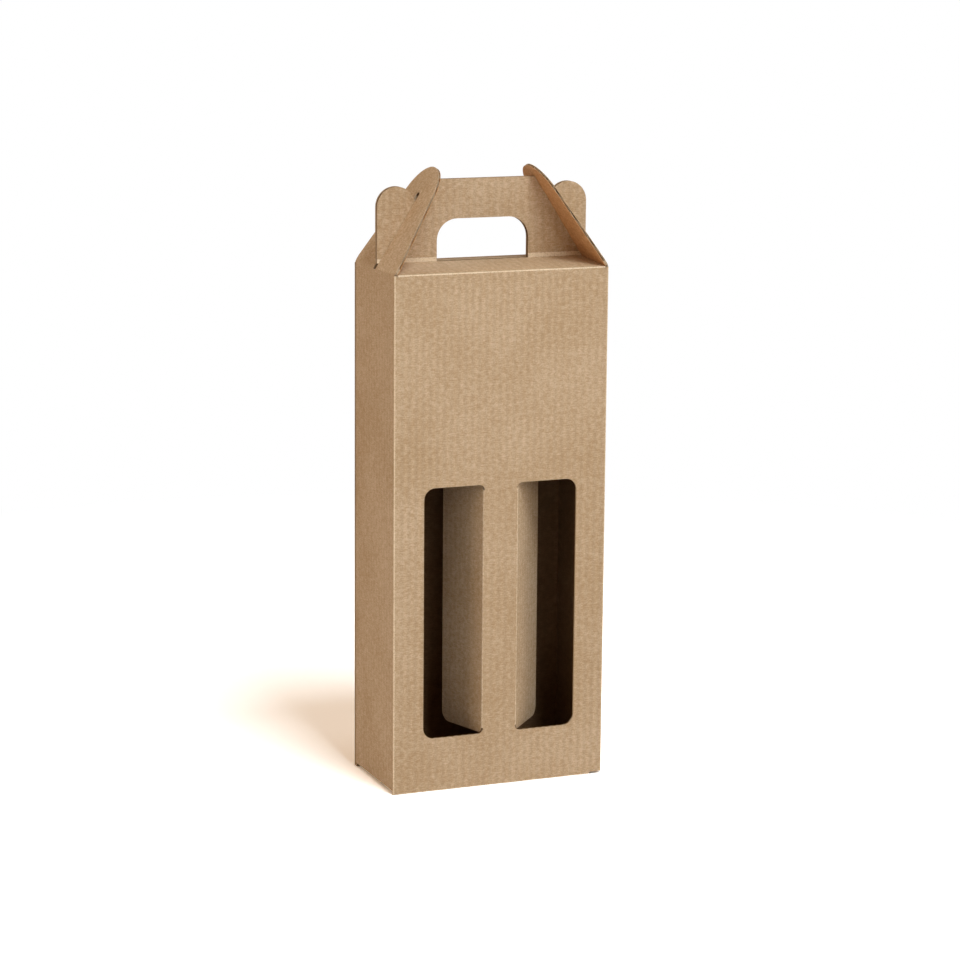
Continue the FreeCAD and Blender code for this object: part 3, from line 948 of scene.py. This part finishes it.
world = bpy.data.worlds.new("studio air")
bpy.context.scene.world = world
world.use_nodes = True
air = world.node_tree
air.nodes.clear()
ray = add(air, "ShaderNodeLightPath")
fill = add(air, "ShaderNodeBackground", Color=(1.0, 0.72, 0.50, 1), Strength=0.26)
plain = add(air, "ShaderNodeBackground", Color=(1, 1, 1, 1), Strength=1.0)
either = add(air, "ShaderNodeMath",
             [(ray.outputs["Is Camera Ray"], 0), (ray.outputs["Is Glossy Ray"], 1)],
             operation="MAXIMUM")
either = add(air, "ShaderNodeMath",
             [(either.outputs[0], 0), (ray.outputs["Is Transmission Ray"], 1)],
             operation="MAXIMUM")
pick = add(air, "ShaderNodeMixShader",
           [(either.outputs[0], 0), (fill.outputs[0], 1), (plain.outputs[0], 2)])
add(air, "ShaderNodeOutputWorld", [(pick.outputs[0], "Surface")])


def lamp(name, place, aim, size, power, color=(1, 1, 1)):
    """Soft square lamp that points at a spot."""
    data = bpy.data.lights.new(name, "AREA")
    data.size = size
    data.energy = power
    data.color = color
    light = bpy.data.objects.new(name, data)
    light.location = place
    light.rotation_euler = (Vector(aim) - Vector(place)).to_track_quat("-Z", "Y").to_euler()
    bpy.context.collection.objects.link(light)


lamp("high softbox", (0.35, -1.7, 3.1), (0, 0, 0.2), 1.1, 60, (0.89, 1.0, 1.07))
lamp("front softbox", (0.2, -2.9, 1.8), (0, 0, 0.2), 1.0, 21, (0.95, 1.0, 1.03))
lamp("left softbox", (-2.8, -0.5, 1.4), (0, 0, 0.2), 1.4, 19.5, (1.0, 0.82, 0.64))
lamp("right softbox", (2.8, -0.8, 1.4), (0, 0, 0.2), 1.4, 16)
lamp("back softbox", (-0.6, 2.8, 1.8), (0, 0, 0.2), 1.4, 11, (1.0, 0.88, 0.74))

photo_w, focal_px = 960, 3101.1
azimuth, elevation, roll = math.radians(-22.135), math.radians(11.353), math.radians(0.470)
aim = Vector((0.25, 0, 213.43)) * mm
distance = 2205.5 * mm
out = Vector((math.sin(azimuth) * math.cos(elevation), -math.cos(azimuth) * math.cos(elevation),
              math.sin(elevation)))
level_right = (-out).cross(Vector((0, 0, 1))).normalized()
level_up = level_right.cross(-out)
right = level_right * math.cos(roll) + level_up * math.sin(roll)
up = level_up * math.cos(roll) - level_right * math.sin(roll)
lens = bpy.data.cameras.new("camera")
lens.sensor_width = 36.0
lens.lens = lens.sensor_width * focal_px / photo_w
lens.clip_end = 50
camera = bpy.data.objects.new("camera", lens)
spot = aim + out * distance
camera.matrix_world = Matrix((
    (right.x, up.x, out.x, spot.x), (right.y, up.y, out.y, spot.y),
    (right.z, up.z, out.z, spot.z), (0, 0, 0, 1)))
bpy.context.collection.objects.link(camera)
bpy.context.scene.camera = camera
bpy.context.scene.view_settings.view_transform = "Standard"
